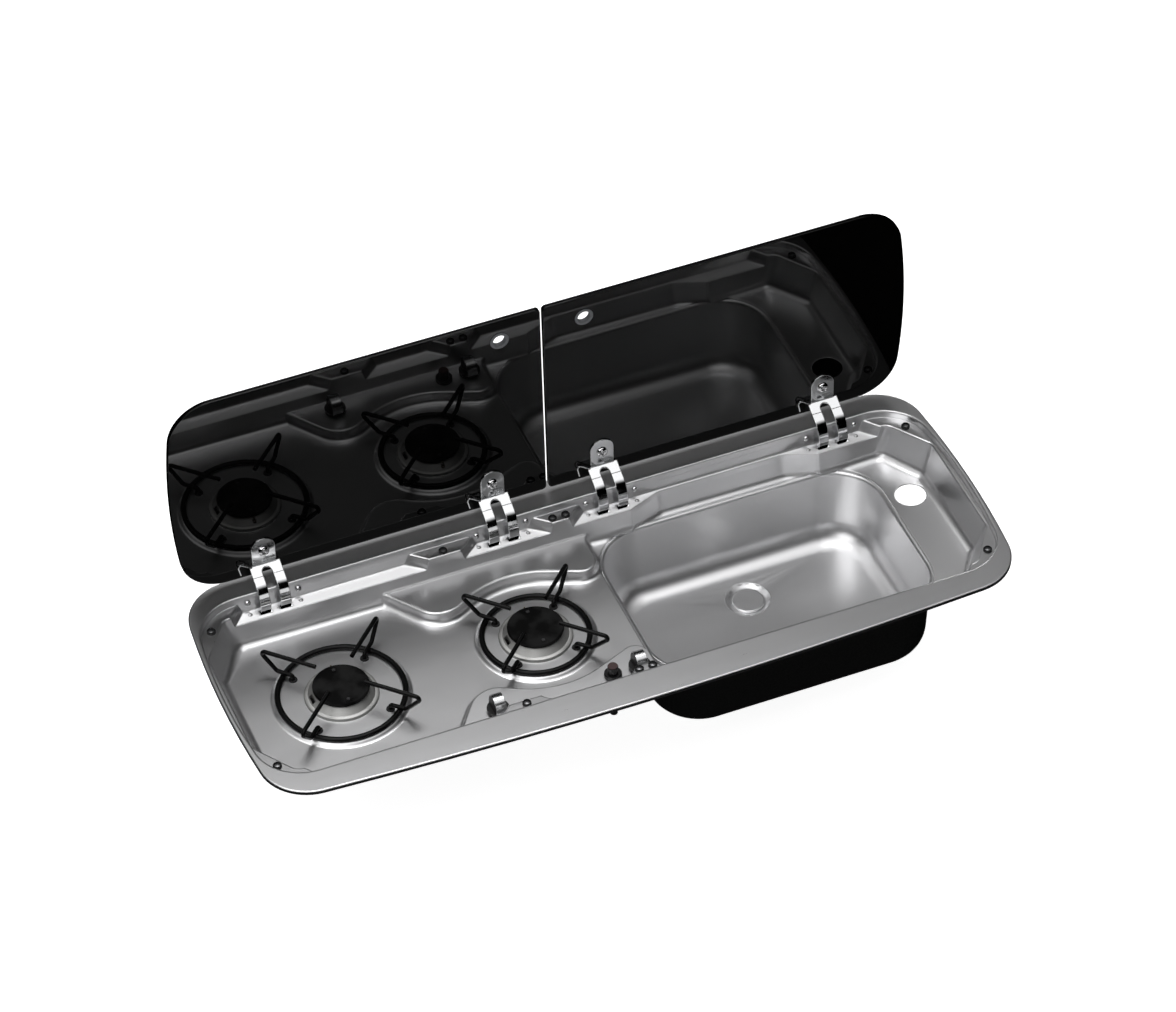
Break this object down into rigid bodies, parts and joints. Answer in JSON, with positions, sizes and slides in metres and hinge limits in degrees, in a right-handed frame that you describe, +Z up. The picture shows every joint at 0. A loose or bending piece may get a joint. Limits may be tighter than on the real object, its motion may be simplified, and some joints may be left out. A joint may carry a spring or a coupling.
{
  "type": "hob and sink combination",
  "caption": "Built-in stainless hob and sink in one pressed deck, with pan supports, knobs, a drained bowl and black glass lids that stand open on strap hinges.",
  "frame": {"origin": "middle of the flange, in the plane of the worktop that the flange seal lies on", "axes": "+X along the unit to the sink end, +Y from front to back, +Z up"},
  "size_m": [0.9, 0.3648, 0.4827],
  "materials": {
    "satin_steel": "satin pressed stainless steel",
    "black_coat": "sprayed sound-deadening coat",
    "black_rubber": "moulded rubber",
    "black_glass": "toughened glass, black behind",
    "grey_grommet": "moulded plastic",
    "bright_chrome": "polished plating",
    "zinc_steel": "zinc plated steel",
    "dark_clamp": "dark coated steel",
    "black_enamel": "black enamel on steel",
    "cast_aluminium": "cast and turned",
    "white_ceramic": "glazed ceramic",
    "plain_brass": "machined brass",
    "satin_chrome": "satin plating",
    "black_plastic": "moulded plastic",
    "red_plastic": "moulded plastic"
  },
  "bodies": {
    "base": {"deck": "satin_steel", "sink_bowl": "satin_steel", "bowl_coat": "black_coat", "flange_seal": "black_rubber", "bumpers": "black_rubber", "foot_bushes": "black_rubber", "bumper_eyelets": "bright_chrome", "hinge_wall_screws": "bright_chrome", "cap_screws": "bright_chrome", "hinge_bases": "zinc_steel", "hinge_pins": "zinc_steel", "fixing_brackets": "zinc_steel", "fixing_screws": "zinc_steel", "gas_rail": "zinc_steel", "burner_cap_left": "black_enamel", "burner_cap_right": "black_enamel", "burner_cup_left": "cast_aluminium", "burner_cup_right": "cast_aluminium", "flame_ring_left": "cast_aluminium", "flame_ring_right": "cast_aluminium", "feed_pipe_left": "cast_aluminium", "feed_pipe_right": "cast_aluminium", "electrodes": "white_ceramic", "tap_body_left": "plain_brass", "tap_body_right": "plain_brass", "injectors": "plain_brass", "flame_sensors": "plain_brass", "igniter_body": "black_plastic", "igniter_bezel": "black_plastic", "drain_body": "black_plastic"},
    "lid_left": {"lid_glass_left": "black_glass", "finger_grommet_left": "grey_grommet", "hinge_leaf_1": "bright_chrome", "hinge_leaf_2": "bright_chrome", "lid_clamps_left": "dark_clamp", "tab_screws_left": "bright_chrome"},
    "lid_right": {"lid_glass_right": "black_glass", "finger_grommet_right": "grey_grommet", "hinge_leaf_3": "bright_chrome", "hinge_leaf_4": "bright_chrome", "lid_clamps_right": "dark_clamp", "tab_screws_right": "bright_chrome"},
    "support_left": {"pan_support_left": "black_enamel"},
    "support_right": {"pan_support_right": "black_enamel"},
    "plug_left": {"tap_plug_left": "plain_brass"},
    "plug_right": {"tap_plug_right": "plain_brass"},
    "control_left": {"knob_left": "black_plastic", "knob_band_left": "satin_chrome", "tap_stem_left": "plain_brass"},
    "control_right": {"knob_right": "black_plastic", "knob_band_right": "satin_chrome", "tap_stem_right": "plain_brass"},
    "igniter": {"igniter_button": "black_plastic", "igniter_cap": "red_plastic"},
    "stopper": {"drain_plug": "satin_steel"}
  },
  "joints": [
    {"name": "lid_left_swing", "type": "hinge", "parent": "base", "child": "lid_left", "pos_m": [-0.20335, 0.155, -0.0089], "axis": [-1, 0, 0], "range_deg": [-90, 0]},
    {"name": "lid_right_swing", "type": "hinge", "parent": "base", "child": "lid_right", "pos_m": [0.20335, 0.155, -0.0089], "axis": [-1, 0, 0], "range_deg": [-90, 0]},
    {"name": "tap_left_turn", "type": "hinge", "parent": "base", "child": "plug_left", "pos_m": [-0.164, -0.1003, -0.05], "axis": [0, 0, 1], "range_deg": [0, 180]},
    {"name": "knob_left_push", "type": "slide", "parent": "plug_left", "child": "control_left", "axis": [0, 0, -1], "range_m": [0, 0.0025], "stiffness_N_per_m": 800, "springref_m": -0.001},
    {"name": "tap_right_turn", "type": "hinge", "parent": "base", "child": "plug_right", "pos_m": [0.004, -0.1003, -0.05], "axis": [0, 0, 1], "range_deg": [0, 180]},
    {"name": "knob_right_push", "type": "slide", "parent": "plug_right", "child": "control_right", "axis": [0, 0, -1], "range_m": [0, 0.0025], "stiffness_N_per_m": 800, "springref_m": -0.001},
    {"name": "igniter_push", "type": "slide", "parent": "base", "child": "igniter", "axis": [0, 0, -1], "range_m": [0, 0.005], "stiffness_N_per_m": 600, "springref_m": -0.002},
    {"name": "support_left_lift", "type": "slide", "parent": "base", "child": "support_left", "axis": [0, 0, 1], "range_m": [0, 0.05]},
    {"name": "support_right_lift", "type": "slide", "parent": "base", "child": "support_right", "axis": [0, 0, 1], "range_m": [0, 0.05]},
    {"name": "stopper_lift", "type": "slide", "parent": "base", "child": "stopper", "axis": [0, 0, 1], "range_m": [0, 0.08]}
  ]
}
